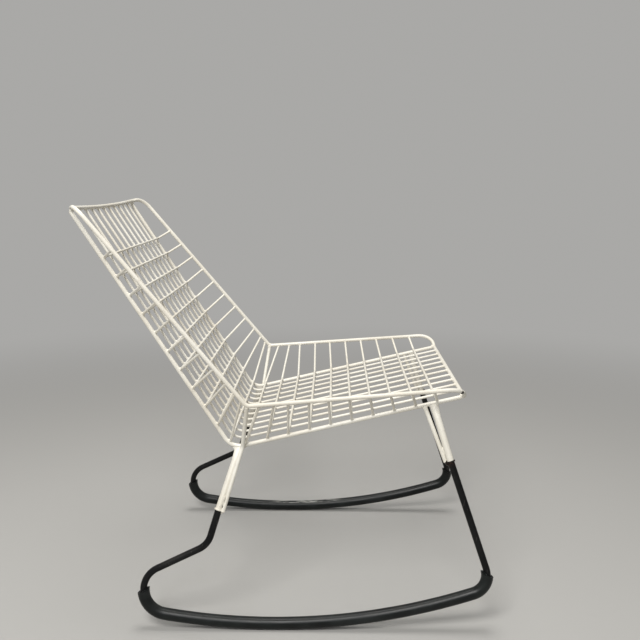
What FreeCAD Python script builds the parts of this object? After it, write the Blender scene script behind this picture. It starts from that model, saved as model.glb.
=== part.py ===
import FreeCAD, Part
import math
import os

# Rocking chair of welded steel rod and wire on two bent tube rockers with rubber sleeves.
# Millimetres. +X is the way the sitter faces, +Y the sitter's left, +Z up, floor at Z = 0.
# While it is drawn, X = 0 is a mark near the place where the runners touch the floor. At the
# end everything moves along X, so that the origin is the middle of the chair's box there.

Vec = FreeCAD.Vector

# Stock
rim_r = 4.0
fold_r = 4.0
brace_r = 4.0
wire_r = 2.4
tube_r = 6.5
tube_wall = 1.5
sleeve_r = 11.6
sleeve_bore_gap = 0.1
weld_gap = 0.1

# Fold rods: the two parallel rods under the mesh, where the wings start
fold_y = 237.0
fold_bend_x = -82.3
fold_bend_z = 338.0
fold_bend_r = 32.0
back_slope = math.radians(57.3)
seat_slope = math.radians(13.18)
back_length = 535.0
seat_length = 449.3

# Rim: one closed rod round back, wings and seat
wing_forward = 34.4
wing_out = 49.0
wing_rise = 95.0
rim_bend_r = 15.0
rim_back_dir = Vec(-0.641, -0.0228, 0.767)
rim_seat_dir = Vec(0.9965, -0.0367, 0.0757)
rim_back_short = 63.0
rim_seat_short = 48.3
top_corner_r = 33.0
front_corner_r = 35.0
rail_bend_r = 18.0
top_rail_forward = 4.5
top_rail_sag = 3.5
top_rail_sweep_r = 6500.0

# Mesh
long_wire_count = 10
long_wire_pitch = 41.9
first_back_wire = 10.0
first_seat_wire = 27.4
last_back_gap = 106.1
last_seat_gap = 50.6
cross_bend_r = 8.0
cross_bend_out = 4.5
# Places of the cross wires on the rim, as shares of its side; they fan out from the bend
rim_back_shares = [0.0326, 0.0678, 0.1208, 0.1928, 0.2733, 0.3581, 0.4449, 0.5297, 0.6123,
                   0.6970, 0.7860]
rim_seat_shares = [0.0589, 0.1247, 0.1895, 0.2843, 0.3741, 0.4688, 0.5636, 0.6584, 0.7581,
                   0.8603]

# Rockers, drawn flat and then leaned inwards
rocker_lean = math.radians(4.83)
rocker_y = 294.7
runner_low_x = -5.7
runner_r = 1225.0
rear_bend_r = 46.8
front_bend_r = 37.2
knee_r = 42.6
arm_slope = math.radians(25.6)
rear_post_slope = math.radians(72.8)
front_post_slope = math.radians(71.3)
knee_x = -125.4
knee_h = 163.1
rear_joint_h = 231.3
front_joint_h = 325.2
front_post_x = 371.7
front_post_h = 200.0

# Sleeves
sleeve_cut = math.radians(25.0)
sleeve_front_short = math.radians(15.0)
sleeve_spare = 9.0

# Legs and braces: rear tops from the corner of the fold rod's bend, front tops from the front
# rail, ends of the braces from the feet
rear_leg_forward = 15.1
rear_leg_rise = 3.0
front_leg_back = 58.2
leg_flat_wide = 17.0
leg_flat_thick = 7.0
leg_flat_length = 28.0
brace_bend_r = 15.0
rear_brace_forward = 21.3
rear_brace_out = 8.9
rear_brace_rise = 5.0
rear_foot_forward = 9.1
rear_foot_out = 7.6
front_brace_back = 75.6
front_foot_back = 9.2
front_foot_in = 5.6
front_foot_drop = 2.0

# Round block that trims the end of a tube or sleeve
trim_reach = 60.0
trim_depth = 90.0

os.makedirs("parts", exist_ok=True)


def unit(v):
    return Vec(v).normalize()


def round_corner(before, corner, after, radius):
    """Start, middle and end of the arc that rounds a corner."""
    back = unit(before - corner)
    ahead = unit(after - corner)
    half = back.getAngle(ahead) / 2
    run = radius / math.tan(half)
    middle = corner + unit(back + ahead) * (radius / math.sin(half) - radius)
    return corner + back * run, middle, corner + ahead * run


def round_path(corners, radii, closed=False):
    """Straight edges through the corners, each corner rounded by its radius."""
    count = len(corners)
    cuts = {}
    turns = range(count) if closed else range(1, count - 1)
    for i in turns:
        after = corners[(i + 1) % count]
        cuts[i] = round_corner(corners[i - 1], corners[i], after, radii[i])
    edges = []
    steps = range(count) if closed else range(count - 1)
    for i in steps:
        j = (i + 1) % count
        start = cuts[i][2] if i in cuts else corners[i]
        end = cuts[j][0] if j in cuts else corners[j]
        edges.append(Part.makeLine(start, end))
        if j in cuts:
            edges.append(Part.Arc(*cuts[j]).toShape())
    return edges


def sweep(edges, radius):
    """A round bar of this radius along joined edges."""
    first = edges[0]
    start = first.valueAt(first.FirstParameter)
    ring = Part.makeCircle(radius, start, first.tangentAt(first.FirstParameter))
    return Part.Wire(edges).makePipeShell([Part.Wire([ring])], True, True)


def trim(shape, place, outward):
    """The shape without what lies beyond a plane, within a reach that spares the far side."""
    return shape.cut(Part.makeCylinder(trim_reach, trim_depth, place, outward))


def other_side(shape):
    return shape.mirror(Vec(0, 0, 0), Vec(0, 1, 0))


parts = {}

# Fold rod in the XZ plane: straight back, bend, straight seat
back_dir = Vec(-math.cos(back_slope), 0, math.sin(back_slope))
seat_dir = Vec(math.cos(seat_slope), 0, math.sin(seat_slope))
back_up = Vec(math.sin(back_slope), 0, math.cos(back_slope))
seat_up = Vec(-math.sin(seat_slope), 0, math.cos(seat_slope))
fold_bend = Vec(fold_bend_x, 0, fold_bend_z)
fold_left = fold_bend + Vec(0, fold_y, 0)
fold_turn = back_slope + seat_slope
fold_run = fold_bend_r * math.tan(fold_turn / 2)
fold_half_arc = fold_bend_r * fold_turn / 2
fold_centre = fold_bend + seat_dir * fold_run + seat_up * fold_bend_r


def fold_point(s, lift):
    """Place along the fold line, s from the middle of its bend, lifted to the sitter's side."""
    if abs(s) <= fold_half_arc:
        angle = s / fold_bend_r + (seat_slope - back_slope) / 2
        down = Vec(math.sin(angle), 0, -math.cos(angle))
        return fold_centre + down * (fold_bend_r - lift)
    if s < 0:
        return fold_bend + back_dir * (fold_run - s - fold_half_arc) + back_up * lift
    return fold_bend + seat_dir * (fold_run + s - fold_half_arc) + seat_up * lift


def seat_mark(back):
    """Place on the left fold rod, this far back from the front rail."""
    return fold_left + seat_dir * (seat_length - back)


def fold_line(lift, back_end, seat_end, y):
    """Edges of a bent line that runs beside the fold line."""
    shift = Vec(0, y, 0)
    top = fold_bend + back_dir * back_end + back_up * lift + shift
    front = fold_bend + seat_dir * seat_end + seat_up * lift + shift
    corner_lift = lift / math.cos(fold_turn / 2)
    corner = fold_bend + unit(back_up + seat_up) * corner_lift + shift
    return round_path([top, corner, front], [0, fold_bend_r - lift, 0])


# Rim
rim_bend = fold_left + Vec(wing_forward, wing_out, wing_rise)
rail_top = fold_bend + back_dir * back_length + back_up * top_rail_forward
rail_front = fold_bend + seat_dir * seat_length
rim_back_length = back_length - rim_back_short
rim_seat_length = seat_length - rim_seat_short
rim_top_corner = rim_bend + unit(rim_back_dir) * rim_back_length
rim_front_corner = rim_bend + unit(rim_seat_dir) * rim_seat_length


def rim_side(side):
    """Corners of one side of the rim, front to top."""
    row = [rail_front + Vec(0, fold_y, 0), rim_front_corner, rim_bend,
           rim_top_corner, rail_top + Vec(0, fold_y, 0)]
    return [Vec(p.x, p.y * side, p.z) for p in row]


rim_radii = [rail_bend_r, front_corner_r, rim_bend_r, top_corner_r, rail_bend_r]
rail_middle = rail_top + Vec(0, 0, -2 * top_rail_sag)
rim_corners = rim_side(1) + [rail_middle] + rim_side(-1)[::-1]
rim_path = round_path(rim_corners, rim_radii + [top_rail_sweep_r] + rim_radii[::-1], True)
parts["rim_rod"] = sweep(rim_path, rim_r)


def top_rail_place(y):
    """Centre of the top rail between the fold rods, which sags in the middle."""
    slope = math.atan(2 * top_rail_sag / fold_y)
    rise = abs(y) * math.tan(slope)
    if abs(y) < top_rail_sweep_r * math.sin(slope):
        rise = top_rail_sweep_r / math.cos(slope) - math.sqrt(top_rail_sweep_r ** 2 - y * y)
    return rail_middle + Vec(0, y, rise)


# Fold rods stop on the rails
end_gap = rim_r + weld_gap
fold_edges = fold_line(0, back_length - end_gap, seat_length - end_gap, fold_y)
parts["fold_rod_left"] = sweep(fold_edges, fold_r)
parts["fold_rod_right"] = other_side(parts["fold_rod_left"])

# Wires along the seat and back, held under the cross wires
cross_lift = fold_r + wire_r + weld_gap
long_lift = cross_lift - 2 * wire_r - weld_gap
for n in range(long_wire_count):
    y = (n - (long_wire_count - 1) / 2) * long_wire_pitch
    rail = top_rail_place(y) - fold_bend
    back_end = rail.dot(back_dir) - end_gap
    edges = fold_line(long_lift, back_end, seat_length - end_gap, y)
    parts["long_wire_%02d" % (n + 1)] = sweep(edges, wire_r)


def rim_place(s):
    """Centre of the rim's side at a distance from its bend, back negative."""
    way = unit(rim_back_dir) if s < 0 else unit(rim_seat_dir)
    return rim_bend + way * abs(s), way


def butt_end(start, target, way, bar_r, end_r):
    """Where a bar from start ends square on the side of a bar through target."""
    out = unit(target - start)
    skew = abs(out.dot(way))
    square = math.sqrt(1 - skew * skew)
    return target - out * ((bar_r + weld_gap + end_r * skew) / square)


def cross_wire(fold_s, rim_s):
    """A wire across the mesh, turned up at both fold rods to butt on the rim."""
    bend = fold_point(fold_s, cross_lift) + Vec(0, fold_y + cross_bend_out, 0)
    target, way = rim_place(rim_s)
    end = butt_end(bend, target, way, rim_r, wire_r)
    flip = lambda p: Vec(p.x, -p.y, p.z)
    corners = [end, bend, flip(bend), flip(end)]
    return sweep(round_path(corners, [0, cross_bend_r, cross_bend_r, 0]), wire_r)


def cross_pitch(side_length, first, last_gap, count):
    """Even step between the cross wires of the back or the seat, along the fold line."""
    return (side_length - fold_run + fold_half_arc - first - last_gap) / (count - 1)


back_count = len(rim_back_shares)
back_pitch = cross_pitch(back_length, first_back_wire, last_back_gap, back_count)
for n, share in enumerate(rim_back_shares):
    fold_s = first_back_wire + n * back_pitch
    parts["back_wire_%02d" % (n + 1)] = cross_wire(-fold_s, -share * rim_back_length)
seat_count = len(rim_seat_shares)
seat_pitch = cross_pitch(seat_length, first_seat_wire, last_seat_gap, seat_count)
for n, share in enumerate(rim_seat_shares):
    fold_s = first_seat_wire + n * seat_pitch
    parts["seat_wire_%02d" % (n + 1)] = cross_wire(fold_s, share * rim_seat_length)

# Rocker tube: knee, arm, rear bend, runner, front bend and post, drawn at Y = 0
runner_centre = Vec(runner_low_x, 0, sleeve_r + runner_r)


def runner_bend(place, way, inner, radius):
    """Centre and ends of the bend that joins a straight tube to the runner."""
    row = place + inner * radius - runner_centre
    along = row.dot(way)
    reach = row.dot(row) - (runner_r - radius) ** 2
    step = -along + math.sqrt(along * along - reach)
    centre = place + inner * radius + way * step
    on_tube = centre - inner * radius
    on_runner = runner_centre + unit(centre - runner_centre) * runner_r
    return centre, on_tube, on_runner


def arc_between(centre, start, end, radius):
    """Arc the short way round."""
    middle = centre + unit((start - centre) + (end - centre)) * radius
    return Part.Arc(start, middle, end).toShape()


knee = Vec(knee_x, 0, knee_h)
arm_dir = Vec(-math.cos(arm_slope), 0, -math.sin(arm_slope))
arm_in = Vec(math.sin(arm_slope), 0, -math.cos(arm_slope))
rear_up = Vec(math.cos(rear_post_slope), 0, math.sin(rear_post_slope))
post_down = Vec(math.cos(front_post_slope), 0, -math.sin(front_post_slope))
post_in = Vec(-math.sin(front_post_slope), 0, -math.cos(front_post_slope))
post = Vec(front_post_x, 0, front_post_h)
rear_joint = knee + rear_up * ((rear_joint_h - knee_h) / rear_up.z)
front_joint = post + post_down * ((front_joint_h - front_post_h) / post_down.z)

rear_centre, arm_end, runner_rear = runner_bend(knee, arm_dir, arm_in, rear_bend_r)
front_centre, post_end, runner_front = runner_bend(post, post_down, post_in, front_bend_r)
runner_low = runner_centre - Vec(0, 0, runner_r)

rear_end = rear_joint + rear_up * tube_r
front_end = front_joint - post_down * tube_r
knee_edges = round_path([rear_end, knee, arm_end], [0, knee_r, 0])
rear_most = rear_centre - Vec(rear_bend_r, 0, 0)
rear_arc = [arc_between(rear_centre, arm_end, rear_most, rear_bend_r),
            arc_between(rear_centre, rear_most, runner_rear, rear_bend_r)]
runner_edge = Part.Arc(runner_rear, runner_low, runner_front).toShape()
front_arc = arc_between(front_centre, runner_front, post_end, front_bend_r)
post_edge = Part.makeLine(post_end, front_end)
rocker_edges = knee_edges + rear_arc + [runner_edge, front_arc, post_edge]


def stand(shape):
    """Leans a rocker piece drawn at Y = 0 inwards and sets it on the left."""
    turned = shape.copy()
    turned.rotate(Vec(0, 0, sleeve_r), Vec(1, 0, 0), math.degrees(rocker_lean))
    turned.translate(Vec(0, rocker_y, 0))
    return turned


def stand_point(p):
    rise = p.z - sleeve_r
    y = rocker_y - rise * math.sin(rocker_lean)
    return Vec(p.x, y, sleeve_r + rise * math.cos(rocker_lean))


# Legs run from the rockers' ends to the fold rods
rear_foot = stand_point(rear_joint)
front_foot = stand_point(front_joint)
rear_leg_top = fold_left + Vec(rear_leg_forward, 0, rear_leg_rise)
front_leg_top = seat_mark(front_leg_back)
fold_clear = sweep(fold_edges, fold_r + weld_gap)


def leg_tube(foot, top, mitre):
    """Tube from a mitre on the rocker to a flattened end under the fold rod."""
    up = unit(top - foot)
    start = foot - up * tube_r
    neck = top - up * leg_flat_length
    wide = unit(seat_dir - up * seat_dir.dot(up))
    flat = Part.Ellipse(top + wide * leg_flat_wide / 2,
                        top + up.cross(wide) * leg_flat_thick / 2, top).toShape()
    rings = [Part.makeCircle(tube_r, start, up), Part.makeCircle(tube_r, neck, up)]
    rings = [Part.Wire([ring]) for ring in rings + [flat]]
    outer = Part.makeLoft(rings, True, True)
    bore = Part.makeCylinder(tube_r - tube_wall, (neck - start).Length, start, up)
    tube = trim(outer.cut(bore), foot + mitre * weld_gap / 2, mitre * -1)
    return tube.cut(fold_clear)


rear_post_way = unit(stand_point(rear_joint) - stand_point(knee))
front_post_way = unit(stand_point(front_joint) - stand_point(post))
rear_mitre = unit(unit(rear_leg_top - rear_foot) + rear_post_way)
front_mitre = unit(unit(front_leg_top - front_foot) + front_post_way)
parts["leg_tube_rear_left"] = leg_tube(rear_foot, rear_leg_top, rear_mitre)
parts["leg_tube_front_left"] = leg_tube(front_foot, front_leg_top, front_mitre)
parts["leg_tube_rear_right"] = other_side(parts["leg_tube_rear_left"])
parts["leg_tube_front_right"] = other_side(parts["leg_tube_front_left"])

# Rocker tubes, with mitred ends under the legs
solid = sweep(rocker_edges, tube_r)
hollow = sweep(rocker_edges, tube_r - tube_wall)
rocker = stand(solid.cut(hollow))
rocker = trim(rocker, rear_foot - rear_mitre * weld_gap / 2, rear_mitre)
rocker = trim(rocker, front_foot - front_mitre * weld_gap / 2, front_mitre)
parts["rocker_tube_left"] = rocker
parts["rocker_tube_right"] = other_side(rocker)

# Sleeves cover the runners and both lower bends, with slanted cut ends
rear_angle = math.pi
front_angle = math.pi / 2 - front_post_slope - sleeve_front_short


def on_bend(centre, radius, angle):
    return centre + Vec(math.cos(angle), 0, math.sin(angle)) * radius


sleeve_rear = on_bend(rear_centre, rear_bend_r, rear_angle)
sleeve_front = on_bend(front_centre, front_bend_r, front_angle)
spare_rear = on_bend(rear_centre, rear_bend_r, rear_angle - sleeve_spare / rear_bend_r)
spare_front = on_bend(front_centre, front_bend_r, front_angle + sleeve_spare / front_bend_r)
sleeve_edges = [arc_between(rear_centre, spare_rear, runner_rear, rear_bend_r), runner_edge,
                arc_between(front_centre, runner_front, spare_front, front_bend_r)]
sleeve = sweep(sleeve_edges, sleeve_r).cut(sweep(sleeve_edges, tube_r + sleeve_bore_gap))
rear_cut = Vec(-math.sin(sleeve_cut), 0, math.cos(sleeve_cut))
front_cut = Vec(math.sin(sleeve_cut), 0, math.cos(sleeve_cut))
sleeve = trim(sleeve, sleeve_rear, rear_cut)
sleeve = trim(sleeve, sleeve_front, front_cut)
parts["rubber_sleeve_left"] = stand(sleeve)
parts["rubber_sleeve_right"] = other_side(parts["rubber_sleeve_left"])

# Braces: rear ones from the rim past the fold rod, front ones from the fold rod, to the feet
rim_low = round_corner(rim_top_corner, rim_bend, rim_front_corner, rim_bend_r)[1]
rim_low_way = unit(unit(rim_seat_dir) - unit(rim_back_dir))
rear_brace_cross = fold_left + Vec(rear_brace_forward, rear_brace_out, rear_brace_rise)
rear_brace_top = butt_end(rear_brace_cross, rim_low, rim_low_way, rim_r, brace_r)
rear_brace_foot = rear_foot + Vec(rear_foot_forward, rear_foot_out, 0)
rear_corners = [rear_brace_top, rear_brace_cross, rear_brace_foot]
rear_brace = sweep(round_path(rear_corners, [0, brace_bend_r, 0]), brace_r)
front_brace_foot = front_foot - Vec(front_foot_back, front_foot_in, front_foot_drop)
front_mark = seat_mark(front_brace_back)
front_brace_top = butt_end(front_brace_foot, front_mark, seat_dir, fold_r, brace_r)
front_brace = sweep([Part.makeLine(front_brace_top, front_brace_foot)], brace_r)
parts["brace_rod_rear_left"] = rear_brace
parts["brace_rod_front_left"] = front_brace
parts["brace_rod_rear_right"] = other_side(rear_brace)
parts["brace_rod_front_right"] = other_side(front_brace)

# Origin to the middle of the box's length
rear_most_x = parts["rim_rod"].optimalBoundingBox().XMin
front_most_x = parts["rubber_sleeve_left"].optimalBoundingBox().XMax
middle_x = (rear_most_x + front_most_x) / 2
for name, shape in parts.items():
    shape.translate(Vec(-middle_x, 0, 0))
    shape.exportStep("parts/%s.step" % name)
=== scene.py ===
import math
import random
import bmesh
import bpy
from mathutils import Matrix, Vector, noise


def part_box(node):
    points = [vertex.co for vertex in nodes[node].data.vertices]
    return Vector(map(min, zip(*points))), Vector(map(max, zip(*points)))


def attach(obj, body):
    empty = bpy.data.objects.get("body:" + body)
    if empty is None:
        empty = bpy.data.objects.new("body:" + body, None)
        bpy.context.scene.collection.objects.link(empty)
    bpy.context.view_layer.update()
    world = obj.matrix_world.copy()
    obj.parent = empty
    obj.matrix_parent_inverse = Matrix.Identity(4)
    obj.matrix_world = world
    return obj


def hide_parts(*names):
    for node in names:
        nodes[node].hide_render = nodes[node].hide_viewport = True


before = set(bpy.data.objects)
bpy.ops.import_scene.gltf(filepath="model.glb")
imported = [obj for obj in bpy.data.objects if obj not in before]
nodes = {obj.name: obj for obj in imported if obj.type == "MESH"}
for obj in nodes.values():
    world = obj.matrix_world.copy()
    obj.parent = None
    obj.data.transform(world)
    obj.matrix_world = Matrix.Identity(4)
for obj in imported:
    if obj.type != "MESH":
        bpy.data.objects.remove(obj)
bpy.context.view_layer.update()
dice = random.Random(11)                      # one seed, so every run is the same
sides = {"left": 1, "right": -1}
print("frame loaded:", len(nodes), "nodes")


# Shader helper: one socket, with the operators that the finishes below use

class Signal:
    core = 0.4                                # share of a mark's reach where it is whole

    def __init__(self, tree, socket=None):
        self.tree = tree
        self.socket = socket

    def node(self, kind, settings, sockets, output=0):
        made = self.tree.nodes.new(kind)
        for name, value in settings.items():
            setattr(made, name, value)
        for name, value in sockets.items():
            if isinstance(value, Signal):
                self.tree.links.new(value.socket, made.inputs[name])
            else:
                made.inputs[name].default_value = value
        return Signal(self.tree, made.outputs[output] if made.outputs else None)

    def maths(self, operation, first, second):
        return self.node("ShaderNodeMath", {"operation": operation}, {0: first, 1: second})

    def __add__(self, other):
        return self.maths("ADD", self, other)

    def __radd__(self, other):
        return self.maths("ADD", other, self)

    def __sub__(self, other):
        return self.maths("SUBTRACT", self, other)

    def __rsub__(self, other):
        return self.maths("SUBTRACT", other, self)

    def __mul__(self, other):
        return self.maths("MULTIPLY", self, other)

    def __rmul__(self, other):
        return self.maths("MULTIPLY", other, self)

    def either(self, other):                  # the larger of two masks
        return self.maths("MAXIMUM", self, other)

    def between(self, low, high):             # 0 below low, 1 above high, smooth
        return self.node("ShaderNodeMapRange", {"interpolation_type": "SMOOTHSTEP"},
                         {"Value": self, "From Min": low, "From Max": high})

    def colours(self, first, second):         # the mask is the share of the second
        return self.node("ShaderNodeMix", {"data_type": "RGBA"},
                         {0: self, 6: first, 7: second}, 2)

    def noise(self, size, detail=2.0):
        return self.node("ShaderNodeTexNoise", {},
                         {"Vector": self, "Scale": 1 / size, "Detail": detail})

    def stretched(self, x, y, z):
        return self.node("ShaderNodeMapping", {}, {"Vector": self, "Scale": (x, y, z)})

    def near(self, place, reach):             # 1 at a place, 0 past its reach
        away = self.node("ShaderNodeVectorMath", {"operation": "DISTANCE"},
                         {0: self, 1: place}, 1)
        return 1 - away.between(reach * self.core, reach)

    def axis(self, number):
        return self.node("ShaderNodeSeparateXYZ", {}, {0: self}, number)

    def upward(self):                         # 1 where the surface faces straight up
        return self.node("ShaderNodeNewGeometry", {}, {}, 1).axis(2)


def startFinish(name):
    material = bpy.data.materials.new(name)
    material.use_nodes = True
    material.node_tree.nodes.clear()
    coords = Signal(material.node_tree).node("ShaderNodeTexCoord", {}, {}, 3)
    return material, coords


def endFinish(coords, surface, bumps):        # bumps: pairs of a height from 0 to 1 and its depth
    for height, depth in bumps:
        sockets = {"Height": height, "Distance": depth}
        if "Normal" in surface:
            sockets["Normal"] = surface["Normal"]
        surface["Normal"] = coords.node("ShaderNodeBump", {}, sockets)
    shader = coords.node("ShaderNodeBsdfPrincipled", {}, surface)
    coords.node("ShaderNodeOutputMaterial", {}, {"Surface": shader})


def mirrored(place, side):                    # side: 1 keeps a place, -1 moves it across
    return Vector((place.x, place.y * side, place.z))


# Ivory paint on the rods, wires and legs

ivory = {
    "fresh": (0.80, 0.775, 0.70, 1),
    "aged": (0.71, 0.67, 0.58, 1),
    # the grime colour also serves as the painted shade on faces towards the floor
    "grime": (0.34, 0.29, 0.22, 1),
    "rust": (0.10, 0.048, 0.025, 1),
    "creviceShadeColour": (0.018, 0.014, 0.011, 1),
    "patch": 0.11,                            # size of the slow change of tone
    "grimeSize": 0.009,
    "chipField": 0.05,
    "chipSize": 0.0016,
    "peel": 0.0011,                           # orange peel in the paint
    "peelDepth": 0.00006,
    "runDepth": 0.00012,
    "toneSpan": (0.3, 0.7),                   # spans: from none of a mark to all of it
    "grimeSpan": (0.52, 0.78),
    "fieldSpan": (0.56, 0.66),
    "chipSpan": (0.66, 0.69),
    "paintedShadeSpan": (0.1, 1.0),
    "paintedShadeShare": 0.35,                       # painted shade on what faces the floor
    "creviceShadeSpan": (0.25, 0.6),
    "ior": 1.48,
    "rough": {"clean": 0.36, "tone": 0.16, "grime": 0.25, "chips": 0.3},
}
paintedCrevices = [                                     # painted shade of the crevices beside the welds: place and reach
    (Vector((-0.1160, -0.2815, 0.2378)), 0.0044),
    (Vector((0.3285, -0.2640, 0.4538)), 0.0054),
]


def ivoryPaint(name, dirtAndShade):
    material, coords = startFinish(name)
    tone = coords.noise(ivory["patch"], 3).between(*ivory["toneSpan"])
    grime = coords.noise(ivory["grimeSize"], 5).between(*ivory["grimeSpan"]) * dirtAndShade
    field = coords.noise(ivory["chipField"], 2).between(*ivory["fieldSpan"])
    chips = coords.noise(ivory["chipSize"], 3).between(*ivory["chipSpan"]) * field
    down = 0 - coords.upward()
    # painted shade: faces turned towards the floor are darkened with the grime colour
    paintedUnderShade = down.between(*ivory["paintedShadeSpan"]) * (ivory["paintedShadeShare"] * dirtAndShade)
    colour = tone.colours(ivory["fresh"], ivory["aged"])
    # real grime and the painted shade under the wires share one colour
    colour = grime.either(paintedUnderShade).colours(colour, ivory["grime"])
    colour = chips.colours(colour, ivory["rust"])
    # painted shade: near-black spots where the crevices beside the welds would be shaded
    creviceShade = coords.near(*paintedCrevices[0])
    for mark in paintedCrevices[1:]:
        creviceShade = creviceShade.either(coords.near(*mark))
    colour = creviceShade.between(*ivory["creviceShadeSpan"]).colours(colour, ivory["creviceShadeColour"])
    share = ivory["rough"]
    rough = share["clean"] + share["tone"] * tone
    rough = rough + share["grime"] * grime + share["chips"] * chips
    peel = coords.noise(ivory["peel"], 2)
    runs = coords.noise(ivory["grimeSize"], 3)
    surface = {"Base Color": colour, "Roughness": rough, "IOR": ivory["ior"]}
    endFinish(coords, surface, [(peel, ivory["peelDepth"]), (runs, ivory["runDepth"]),
                                (1 - chips, ivory["runDepth"])])
    return material


# Black paint on the rocker tubes, browned where the tubes were welded

black = {
    "paint": (0.0038, 0.0040, 0.0045, 1),
    "worn": (0.0085, 0.0085, 0.0085, 1),
    "dust": (0.075, 0.070, 0.062, 1),
    "burnt": (0.028, 0.014, 0.009, 1),
    "patch": 0.06,
    "scratch": 0.0022,
    "scratchWay": (1, 1, 0.12),               # scratches run up and down
    "scratchShare": 0.5,
    "speck": 0.0013,
    "speckDepth": 0.00008,
    "peelDepth": 0.000048,
    "burntReach": 0.013,
    "burntGrain": 0.005,
    "crust": 0.002,
    "crustDepth": 0.00032,
    "farBurnt": 0.6,                          # the far joint is browned less
    "toneSpan": (0.35, 0.7),
    "scratchSpan": (0.63, 0.7),
    "speckSpan": (0.68, 0.74),
    "dustSpan": (0.4, 0.8),
    "topSpan": (0.2, 1.0),
    "dustShare": 0.22,
    "burntSpan": (0.44, 0.62),
    "shine": 0.18,
    "rough": {"clean": 0.30, "tone": 0.14, "dust": 0.2, "burnt": 0.35},
}
joints = {                                    # centres of the cuts between legs and rockers
    "rear": Vector((-0.12471, 0.27620, 0.23052)),
    "front": Vector((0.30891, 0.26830, 0.32409)),
}


def blackPaint(name):
    material, coords = startFinish(name)
    tone = coords.noise(black["patch"], 4).between(*black["toneSpan"])
    lines = coords.stretched(*black["scratchWay"]).noise(black["scratch"], 4)
    lines = lines.between(*black["scratchSpan"]) * black["scratchShare"]
    specks = coords.noise(black["speck"], 2).between(*black["speckSpan"])
    settled = coords.noise(black["patch"], 5).between(*black["dustSpan"])
    dust = coords.upward().between(*black["topSpan"]) * settled * black["dustShare"]
    burnt = coords.near(mirrored(joints["front"], -1), black["burntReach"])
    far = coords.near(joints["front"], black["burntReach"]) * black["farBurnt"]
    burnt = burnt.either(far) * coords.noise(black["burntGrain"], 5).between(*black["burntSpan"])
    colour = tone.colours(black["paint"], black["worn"])
    colour = lines.either(dust).colours(colour, black["dust"])
    colour = burnt.colours(colour, black["burnt"])
    share = black["rough"]
    rough = share["clean"] + share["tone"] * tone
    rough = rough + share["dust"] * dust + share["burnt"] * burnt
    surface = {"Base Color": colour, "Roughness": rough, "Specular IOR Level": black["shine"]}
    crust = burnt * coords.noise(black["crust"], 4)
    endFinish(coords, surface, [(coords.noise(ivory["peel"], 2), black["peelDepth"]),
                                (specks, black["speckDepth"]), (crust, black["crustDepth"])])
    return material


# Rubber of the hoses: faint lines along it, dusty where it meets the floor, with a painted
# highlight on top of the left hose

rubber = {
    "deep": (0.0045, 0.0054, 0.0054, 1),
    "bloom": (0.014, 0.017, 0.0165, 1),
    "dust": (0.12, 0.11, 0.09, 1),
    # colour of the painted highlight on top of the left hose
    "highlight": (0.42, 0.42, 0.39, 1),
    "line": 0.0011,
    "lineWay": (0.03, 1, 1),                  # the lines run along the runner
    "lineDepth": 0.00004,
    "bloomSize": 0.05,
    "soiled": (0.0009, 0.0045),               # heights above the floor: all worn, and none
    "soiledGrain": 0.004,
    "soiledDepth": 0.00010,
    "dustGrain": 0.03,
    "pores": 0.0007,
    "poreDepth": 0.00003,
    "bloomSpan": (0.35, 0.75),
    "soiledSpan": (0.35, 0.6),
    "topSpan": (0.3, 1.0),
    "dustSpan": (0.45, 0.8),
    "dustShare": 0.08,
    "shine": 0.24,
    "rough": {"clean": 0.30, "bloom": 0.12, "worn": 0.4, "dust": 0.2},
}
topHighlight = {                                    # painted highlight: a bright streak on top of the left hose
    "middle": Vector((0.02, 0.2940, 0.0245)),
    "reach": 0.10,
    "grain": 0.003,
    "way": (0.1, 1, 1),
    "topSpan": (0.7, 0.92),
    "span": (0.48, 0.58),
}


def hoseRubber(name):
    material, coords = startFinish(name)
    bloom = coords.noise(rubber["bloomSize"], 5).between(*rubber["bloomSpan"])
    lines = coords.stretched(*rubber["lineWay"]).noise(rubber["line"], 3)
    worn = 1 - coords.axis(2).between(*rubber["soiled"])
    worn = worn * coords.noise(rubber["soiledGrain"], 5).between(*rubber["soiledSpan"])
    up = coords.upward()
    settled = coords.noise(rubber["dustGrain"], 6).between(*rubber["dustSpan"])
    dust = up.between(*rubber["topSpan"]) * settled * rubber["dustShare"]
    # painted highlight: a bright grey streak along the up-facing top of the left hose
    highlightGrain = coords.stretched(*topHighlight["way"]).noise(topHighlight["grain"], 3)
    highlightGrain = highlightGrain.between(*topHighlight["span"])
    highlightMask = coords.near(topHighlight["middle"], topHighlight["reach"])
    highlightMask = highlightMask * up.between(*topHighlight["topSpan"]) * highlightGrain
    colour = bloom.colours(rubber["deep"], rubber["bloom"])
    colour = worn.either(dust).colours(colour, rubber["dust"])
    colour = highlightMask.colours(colour, rubber["highlight"])
    share = rubber["rough"]
    rough = share["clean"] + share["bloom"] * bloom
    rough = rough + share["worn"] * worn + share["dust"] * dust
    surface = {"Base Color": colour, "Roughness": rough, "Specular IOR Level": rubber["shine"]}
    pores = coords.noise(rubber["pores"], 2)
    endFinish(coords, surface, [(lines, rubber["lineDepth"]), (pores, rubber["poreDepth"]),
                                (1 - worn, rubber["soiledDepth"])])
    return material


finishes = {
    "rods": ivoryPaint("ivory_paint", 0.20),
    "welds": ivoryPaint("ivory_paint_on_welds", 0.36),
    "tubes": blackPaint("black_paint"),
    "hoses": hoseRubber("black_rubber"),
}
for name, node in nodes.items():              # the hoses are made further down
    finish = finishes["tubes"] if name.startswith("rocker") else finishes["rods"]
    for slot in node.material_slots:
        slot.material = finish
print("finishes made")


# Making pieces

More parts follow.
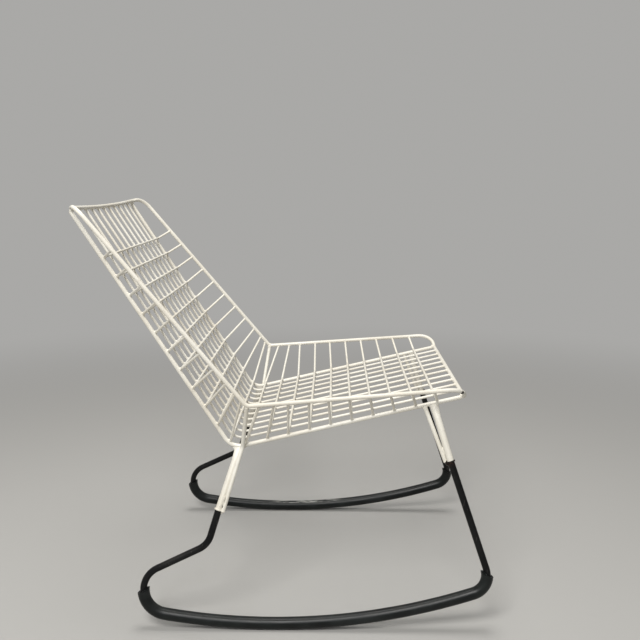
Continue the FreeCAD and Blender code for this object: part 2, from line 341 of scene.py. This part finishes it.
def newPiece(name, bm, finish):
    bmesh.ops.recalc_face_normals(bm, faces=bm.faces)
    for face in bm.faces:
        face.smooth = True
    mesh = bpy.data.meshes.new(name)
    bm.to_mesh(mesh)
    bm.free()
    mesh.materials.append(finish)
    piece = bpy.data.objects.new(name, mesh)
    bpy.context.scene.collection.objects.link(piece)
    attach(piece, "root")
    return piece


def turnedTo(forward, side):                  # X to forward, Y near side, Z square to both
    x = forward.normalized()
    z = x.cross(side).normalized()
    return Matrix((x, z.cross(x), z)).transposed().to_4x4()


bead = {"uneven": 0.13, "facets": (8, 6)}


def addBead(bm, place, turn, halves, facets=bead["facets"]):     # one slightly uneven lump
    ripple = [1 + dice.uniform(-bead["uneven"], bead["uneven"]) for half in halves]
    size = Matrix.Diagonal([half * share for half, share in zip(halves, ripple)] + [1])
    bmesh.ops.create_uvsphere(bm, u_segments=facets[0], v_segments=facets[1], radius=1,
                              matrix=Matrix.Translation(place) @ turn @ size)


# Places of the welds, read from the frame's own wires

stock = {                                     # radii, and the gap where wires cross
    "rod": 0.004,
    "wire": 0.0024,
    "tube": 0.0065,
    "gap": 0.0001,
}
fold = {                                      # the fold rods, bent between back and seat
    "y": 0.237,
    "bend": Vector((-0.10272, 0, 0.338)),
    "radius": 0.032,
    "back": math.radians(57.3),
    "seat": math.radians(13.18),
}
backWay = Vector((-math.cos(fold["back"]), 0, math.sin(fold["back"])))
seatWay = Vector((math.cos(fold["seat"]), 0, math.sin(fold["seat"])))
backUp = Vector((math.sin(fold["back"]), 0, math.cos(fold["back"])))
seatUp = Vector((-math.sin(fold["seat"]), 0, math.cos(fold["seat"])))
foldRun = fold["radius"] * math.tan((fold["back"] + fold["seat"]) / 2)
foldCentre = fold["bend"] + seatWay * foldRun + seatUp * fold["radius"]
sideways = Vector((0, 1, 0))
reading = {
    "level": 0.0004,                          # slack round the vertices nearest the middle
    "tip": 2.2,                               # radii round an end's outermost vertex
}


def upAt(place):                              # square to the mesh, towards the sitter
    away = place - foldCentre
    if away.dot(seatWay) > 0:
        return seatUp
    if away.dot(backWay) > 0:
        return backUp
    return Vector((-away.x, 0, -away.z)).normalized()


def middleOf(points):
    total = Vector((0, 0, 0))
    for point in points:
        total += point
    return total / len(points)


def flatStretch(name):                        # centre of a cross wire's straight middle
    points = [v.co for v in nodes[name].data.vertices]
    nearest = min(abs(point.y) for point in points)
    return middleOf([point for point in points if abs(point.y) < nearest + reading["level"]])


def endOf(name, way, radius):                 # centre of a bar's end that looks this way
    points = [v.co for v in nodes[name].data.vertices]
    tip = max(points, key=lambda point: point.dot(way))
    reach = radius * reading["tip"]
    return middleOf([point for point in points if (point - tip).length < reach])


longWires = [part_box(name) for name in sorted(nodes) if name.startswith("long_wire")]
longPlaces = [(low.y + high.y) / 2 for low, high in longWires]
crossNames = [name for name in sorted(nodes) if name.split("_")[0] in ("back", "seat")
              and "wire" in name]
crossPlaces = {name: flatStretch(name) for name in crossNames}

# Spot welds where the wires cross, and where the cross wires lie on the fold rods

spot = {"halves": (0.0032, 0.0032, 0.0028), "onRod": (0.0036, 0.0042, 0.0030)}


def spotWelds():
    bm = bmesh.new()
    for place in crossPlaces.values():
        up = upAt(place)
        turn = turnedTo(sideways.cross(up), sideways)
        seat = place - up * (stock["wire"] + stock["gap"] / 2)
        for y in longPlaces:
            addBead(bm, seat + sideways * y, turn, spot["halves"])
        for side in sides.values():
            addBead(bm, seat + sideways * (fold["y"] * side), turn, spot["onRod"])
    return newPiece("spot_welds", bm, finishes["welds"])


# Butt welds where the wires end on the rim and the rails

butt = {
    "wire": (0.0027, 0.0032, 0.0032),
    "rod": (0.0042, 0.0046, 0.0044),
    "inside": 0.0022,                         # keeps the beads of the fold rods off the outside
    "facets": (12, 8),
}


def buttWelds():
    bm = bmesh.new()
    for name, place in crossPlaces.items():
        for side in sides.values():
            end = endOf(name, sideways * side, stock["wire"])
            out = end - Vector((place.x, fold["y"] * side, place.z))
            addBead(bm, end, turnedTo(out, upAt(place)), butt["wire"])
    for name in sorted(nodes):
        if name.startswith("long_wire"):
            kind, radius = "wire", stock["wire"]
        elif name.startswith("fold_rod"):
            kind, radius = "rod", stock["rod"]
        else:
            continue
        for way, up in ((backWay, backUp), (seatWay, seatUp)):
            place = endOf(name, way, radius)
            if kind == "rod":
                place = place + up * butt["inside"]
            addBead(bm, place, turnedTo(way, sideways), butt[kind], butt["facets"])
    return newPiece("butt_welds", bm, finishes["welds"])


# Flared tops that join the flattened legs to the fold rods

legTops = {
    "rear": Vector((-0.08762, 0.237, 0.341)),
    "front": Vector((0.27808, 0.237, 0.42718)),
    "wide": 0.0085,
    "thick": 0.0035,
    "flat": 0.028,                            # length over which the tube was flattened
    "flare": 0.0068,
    "reach": 0.0090,
    "curve": 2.4,
    "deep": 0.0115,
    "proud": 0.00012,                         # stands off the leg above, sinks into it below
    "sink": 0.00045,
    "rings": 12,
    "around": 32,
}


def legFlares():
    bm = bmesh.new()
    for end in ("rear", "front"):
        top = legTops[end]
        up = (top - joints[end]).normalized()
        along = sideways.cross(upAt(top))
        lean = 1 / up.cross(along).length
        for side in sides.values():
            edges = []
            for step in range(legTops["rings"]):
                share = step / (legTops["rings"] - 1)
                depth = legTops["deep"] * share
                flat = depth / legTops["flat"]
                nearness = max(0, 1 - depth / legTops["reach"])
                spread = legTops["flare"] * nearness ** legTops["curve"]
                proud = legTops["proud"] - legTops["sink"] * share ** 2
                wide = legTops["wide"] * (1 - flat) + stock["tube"] * flat + proud
                thick = legTops["thick"] * (1 - flat) + stock["tube"] * flat + proud
                turn = Matrix((along * (wide * lean + spread), sideways * thick, up))
                turn = turn.transposed().to_4x4()
                place = Matrix.Translation(top - up * depth) @ turn
                ring = bmesh.ops.create_circle(bm, segments=legTops["around"], radius=1,
                                               matrix=Matrix.Diagonal((1, side, 1, 1)) @ place)
                edges += list({edge for vert in ring["verts"] for edge in vert.link_edges})
            bmesh.ops.bridge_loops(bm, edges=edges)
    return newPiece("leg_flares", bm, finishes["rods"])


# Rippled rings round the cuts between legs and rockers

collar = {
    "ring": 0.00650,                          # radius of the ring, and of its round section
    "thick": 0.0016,
    "steps": 64,
    "around": 10,
    "ripples": 11,
    "height": 0.00030,
    "grain": 260,
    "stretch": 0.1,                           # how far a slanted cut lengthens the ring
}
cuts = {                                      # square to the mitres, on the left side
    "rear": Vector((0.3009, -0.2011, 0.9322)),
    "front": Vector((-0.2994, -0.1805, 0.9369)),
}
postWays = {                                  # along the rocker's posts
    "rear": Vector((0.2957, -0.0804, 0.9519)),
    "front": Vector((-0.3206, -0.0798, 0.9438)),
}


def footCollars(end, finish):
    bm = bmesh.new()
    for side in sides.values():
        ring = bmesh.new()
        start = bmesh.ops.create_circle(ring, segments=collar["around"], radius=collar["thick"],
                                        matrix=Matrix.Translation((collar["ring"], 0, 0))
                                        @ Matrix.Rotation(math.pi / 2, 4, "X"))
        edges = list({edge for vert in start["verts"] for edge in vert.link_edges})
        bmesh.ops.spin(ring, geom=edges, cent=(0, 0, 0), axis=(0, 0, 1), angle=math.tau,
                       steps=collar["steps"], use_merge=True)
        for vert in ring.verts:
            turn = math.atan2(vert.co.y, vert.co.x)
            out = Vector((vert.co.x, vert.co.y, 0)).normalized()
            swell = math.sin(turn * collar["ripples"]) + noise.noise(vert.co * collar["grain"])
            vert.co += out * (swell * collar["height"])
        flat = cuts[end].cross(sideways).normalized()
        lean = postWays[end].cross(cuts[end]).length
        place = Matrix.Translation(joints[end]) @ turnedTo(flat, cuts[end].cross(flat))
        bmesh.ops.transform(ring, verts=ring.verts, matrix=place)
        bmesh.ops.scale(ring, verts=ring.verts, vec=(1 + lean * collar["stretch"], 1, 1),
                        space=place.inverted())
        if side < 0:
            bmesh.ops.scale(ring, verts=ring.verts, vec=(1, -1, 1))
            bmesh.ops.reverse_faces(ring, faces=ring.faces)
        mesh = bpy.data.meshes.new("ring")
        ring.to_mesh(mesh)
        ring.free()
        bm.from_mesh(mesh)
        bpy.data.meshes.remove(mesh)
    return newPiece("foot_collars_" + end, bm, finish)


# Beads that hold the braces, with a drip of weld curled under each lower end

braceWelds = {
    "top": (0.0054, 0.0046, 0.0046),
    "foot": (0.0090, 0.0021, 0.0024),         # the long seam above a brace's foot
    "footUp": 0.0200,
    "seamShare": 0.36,                        # where the seam lies between brace and leg
    "tip": (0.0034, 0.0040, 0.0040),
    "drip": (0.0042, 0.0013, 0.0015),
    "dripDown": 0.0038,
    "dripIn": 0.0012,
    "dripLean": 0.9,
    "facets": (14, 10),
    "dripFacets": (10, 8),
}


def braceBeads():
    bm = bmesh.new()
    for end in ("rear", "front"):
        for label in sides:
            name = "brace_rod_%s_%s" % (end, label)
            way = Vector((0, 0, 1))
            top = endOf(name, way, stock["rod"])
            foot = endOf(name, -way, stock["rod"])
            along = (top - foot).normalized()
            turn = turnedTo(along, sideways)
            post = mirrored(joints[end], sides[label])
            inner = (post - foot).normalized()
            seam = foot.lerp(post, braceWelds["seamShare"]) + along * braceWelds["footUp"]
            addBead(bm, top, turn, braceWelds["top"], braceWelds["facets"])
            addBead(bm, foot, turn, braceWelds["tip"], braceWelds["facets"])
            addBead(bm, seam, turn, braceWelds["foot"], braceWelds["facets"])
            curl = turnedTo(inner - along * braceWelds["dripLean"], sideways)
            drip = foot - along * braceWelds["dripDown"] + inner * braceWelds["dripIn"]
            addBead(bm, drip, curl, braceWelds["drip"], braceWelds["dripFacets"])
    return newPiece("brace_welds", bm, finishes["welds"])


# Black weld below the front legs, a large lump and a smaller one behind it

frontWelds = {
    "halves": (0.0062, 0.0052, 0.0056),
    "way": Vector((-0.85, -0.35, -0.55)).normalized(),
    "row": ((0.0046, 1.0), (0.0072, 0.7)),    # how far from the cut, and its share of the size
    "sag": 0.001,
    "facets": (16, 12),
}


def frontBlobs():
    bm = bmesh.new()
    level = turnedTo(Vector((1, 0, 0)), sideways)
    for side in sides.values():
        for step, share in frontWelds["row"]:
            place = joints["front"] + frontWelds["way"] * step - Vector((0, 0, frontWelds["sag"]))
            halves = [half * share for half in frontWelds["halves"]]
            addBead(bm, mirrored(place, side), level, halves, frontWelds["facets"])
    return newPiece("front_weld_blobs", bm, finishes["tubes"])


spotWelds()
buttWelds()
legFlares()
footCollars("rear", finishes["welds"])
footCollars("front", finishes["tubes"])
braceBeads()
frontBlobs()
print("welds made")


# Hoses over the runners: spun along both bends and the runner, cut slanted, given their wall

hose = {
    "radius": 0.0116,
    "wall": 0.0049,
    "low": Vector((-0.02612, 0, 0.0116)),     # lowest point of the runner's centre line
    "runner": 1.225,
    "rearBend": 0.0468,
    "frontBend": 0.0372,
    "rearUp": 90.0,                           # degrees that the rear bend turns up from level
    "frontUp": 3.7,                           # degrees that the front bend turns past upright
    "spare": 0.009,                           # length past each end, taken off by the cut
    "cut": 25.0,                              # degrees that the cuts slant
    "lean": 4.83,                             # degrees that the rocker's loop leans inward
    "y": 0.2947,
    "around": 40,
    "rearSteps": 26,
    "runnerSteps": 150,
    "frontSteps": 22,
    "cutReach": 3,                            # radii round an end that the cut may touch
    "merge": 1e-5,
    "rim": 0.0011,
    "rimAngle": 0.7,
    "dent": 0.00022,
    "dentGrain": (60, 160, 90),
}


def bendCentre(x, radius):                    # a bend that meets the runner smoothly
    reach = hose["runner"] - radius
    drop = math.sqrt(reach ** 2 - (x - hose["low"].x) ** 2)
    return Vector((x, 0, hose["low"].z + hose["runner"] - drop))


def cutHose(bm, place, tilt):                 # takes off what lies past a slanted plane
    across = Vector((math.sin(tilt), 0, math.cos(tilt)))
    reach = hose["radius"] * hose["cutReach"]
    block = [face for face in bm.faces if (face.calc_center_median() - place).length < reach]
    around = {edge for face in block for edge in face.edges}
    corners = {vert for face in block for vert in face.verts}
    bmesh.ops.bisect_plane(bm, geom=block + list(around) + list(corners), dist=1e-6,
                           plane_co=place, plane_no=across, clear_outer=True)


def wallHose(bm):                             # wall, rounded lips and slight dents
    bmesh.ops.remove_doubles(bm, verts=bm.verts, dist=hose["merge"])
    bmesh.ops.recalc_face_normals(bm, faces=bm.faces)
    bmesh.ops.solidify(bm, geom=bm.faces, thickness=hose["wall"])
    lip = [edge for edge in bm.edges if edge.calc_face_angle(0) > hose["rimAngle"]]
    bmesh.ops.bevel(bm, geom=lip, offset=hose["rim"], offset_type="OFFSET", segments=3,
                    profile=0.5, affect="EDGES", material=-1, clamp_overlap=True)
    bm.normal_update()
    for vert in bm.verts:
        field = Vector([part * grain for part, grain in zip(vert.co, hose["dentGrain"])])
        dent = 0.5 + 0.5 * noise.noise(field)
        vert.co -= vert.normal * (dent * hose["dent"])


def makeHose(label):
    tubeLow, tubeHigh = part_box("rocker_tube_" + label)
    rear = bendCentre(tubeLow.x + stock["tube"] + hose["rearBend"], hose["rearBend"])
    front = bendCentre(tubeHigh.x - stock["tube"] - hose["frontBend"], hose["frontBend"])
    centre = hose["low"] + Vector((0, 0, hose["runner"]))
    rearTurn = math.atan2(rear.x - centre.x, centre.z - rear.z)     # below level at the runner
    frontTurn = math.atan2(front.x - centre.x, centre.z - front.z)
    spareRear = hose["spare"] / hose["rearBend"]
    spareFront = hose["spare"] / hose["frontBend"]
    cut = math.radians(hose["cut"])
    bm = bmesh.new()
    start = Matrix.Translation(rear) @ Matrix.Rotation(spareRear, 4, "Y")
    start = start @ Matrix.Translation((-hose["rearBend"], 0, 0))
    ring = bmesh.ops.create_circle(bm, segments=hose["around"], radius=hose["radius"],
                                   matrix=start)
    geom = list({edge for vert in ring["verts"] for edge in vert.link_edges})
    frontUp = math.radians(hose["frontUp"])
    arcs = [(rear, math.radians(hose["rearUp"]) + spareRear + rearTurn, hose["rearSteps"]),
            (centre, frontTurn - rearTurn, hose["runnerSteps"]),
            (front, math.pi / 2 + frontUp + spareFront - frontTurn, hose["frontSteps"])]
    for middle, angle, steps in arcs:
        spun = bmesh.ops.spin(bm, geom=geom, cent=middle, axis=(0, -1, 0), angle=angle,
                              steps=steps)
        geom = [part for part in spun["geom_last"] if isinstance(part, bmesh.types.BMEdge)]
    rearEnd = rear + Vector((-hose["rearBend"], 0, 0))
    frontEnd = front + Vector((math.cos(frontUp), 0, math.sin(frontUp))) * hose["frontBend"]
    cutHose(bm, rearEnd, -cut)
    cutHose(bm, frontEnd, cut)
    wallHose(bm)
    lean = Matrix.Translation((0, hose["y"], hose["radius"]))
    lean = lean @ Matrix.Rotation(math.radians(hose["lean"]), 4, "X")
    lean = lean @ Matrix.Translation((0, 0, -hose["radius"]))
    bmesh.ops.transform(bm, verts=bm.verts, matrix=lean)
    bmesh.ops.scale(bm, verts=bm.verts, vec=(1, sides[label], 1))
    piece = newPiece("hose_" + label, bm, finishes["hoses"])
    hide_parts("rubber_sleeve_" + label)


for label in sides:
    makeHose(label)
print("hoses made")


# Floor, light and camera

stageSet = {
    "floor": (0.44, 0.435, 0.42, 1),
    "behind": (0.40, 0.396, 0.385, 1),
    "size": 60,
    "fadeStart": 0.9,                         # where the floor starts to run into the backdrop
    "fadeEnd": 3.2,
    "sky": (1, 0.985, 0.96, 1),
    "skyStrength": 0.2,
}
lamps = [                                     # name, place, target, size, watts, colour
    ("key", (-0.7, -2.5, 3.0), (0, 0, 0.4), 1.5, 96, (1, 0.985, 0.955)),
    ("top", (0.1, 0.2, 3.6), (0, 0, 0.4), 1.6, 62, (1, 0.985, 0.96)),
    ("front", (-0.6, -3.3, 2.0), (0, 0, 0.3), 0.8, 22, (0.95, 0.97, 1)),
]
photoCamera = {                               # solved from the photo, angles in degrees
    "place": (0.0884, -1.7887, 0.8452),
    "pitch": 80.487,
    "yaw": 0.865,
    "lens": 47.81,
    "sensor": 36,
}


def makeFloor():
    bm = bmesh.new()
    bmesh.ops.create_grid(bm, x_segments=2, y_segments=2, size=stageSet["size"] / 2)
    mesh = bpy.data.meshes.new("floor")
    bm.to_mesh(mesh)
    bm.free()
    floor = bpy.data.objects.new("floor", mesh)
    material, coords = startFinish("floor_finish")
    matt = coords.node("ShaderNodeBsdfDiffuse", {}, {"Color": stageSet["floor"]})
    flat = coords.node("ShaderNodeEmission", {}, {"Color": stageSet["behind"]})
    away = coords.node("ShaderNodeVectorMath", {"operation": "LENGTH"}, {0: coords}, 1)
    seen = coords.node("ShaderNodeLightPath", {}, {})
    share = away.between(stageSet["fadeStart"], stageSet["fadeEnd"]) * seen
    mixed = coords.node("ShaderNodeMixShader", {}, {0: share, 1: matt, 2: flat})
    coords.node("ShaderNodeOutputMaterial", {}, {"Surface": mixed})
    mesh.materials.append(material)
    bpy.context.scene.collection.objects.link(floor)


def makeLamp(name, place, target, size, power, colour):
    data = bpy.data.lights.new(name, "AREA")
    data.shape = "DISK"
    data.size = size
    data.energy = power
    data.color = colour
    lamp = bpy.data.objects.new(name, data)
    lamp.location = place
    lamp.rotation_euler = (Vector(target) - Vector(place)).to_track_quat("-Z", "Y").to_euler()
    lamp.visible_camera = False
    bpy.context.scene.collection.objects.link(lamp)


def makeWorld():
    world = bpy.data.worlds.new("studio")
    bpy.context.scene.world = world
    world.use_nodes = True
    world.node_tree.nodes.clear()
    base = Signal(world.node_tree)
    path = base.node("ShaderNodeLightPath", {}, {})
    glossy = Signal(world.node_tree, path.socket.node.outputs["Is Glossy Ray"])
    soft = base.node("ShaderNodeBackground", {}, {"Color": stageSet["sky"],
                                                  "Strength": stageSet["skyStrength"]})
    plain = base.node("ShaderNodeBackground", {}, {"Color": stageSet["behind"], "Strength": 1.0})
    mixed = base.node("ShaderNodeMixShader", {}, {0: path.either(glossy), 1: soft, 2: plain})
    base.node("ShaderNodeOutputWorld", {}, {"Surface": mixed})


def makeCamera():
    data = bpy.data.cameras.new("camera")
    data.sensor_width = photoCamera["sensor"]
    data.lens = photoCamera["lens"]
    camera = bpy.data.objects.new("camera", data)
    camera.location = photoCamera["place"]
    camera.rotation_euler = (math.radians(photoCamera["pitch"]), 0,
                             math.radians(photoCamera["yaw"]))
    bpy.context.scene.collection.objects.link(camera)
    bpy.context.scene.camera = camera


makeFloor()
makeWorld()
for lamp in lamps:
    makeLamp(*lamp)
makeCamera()
bpy.context.scene.view_settings.view_transform = "Standard"
print("stage set")
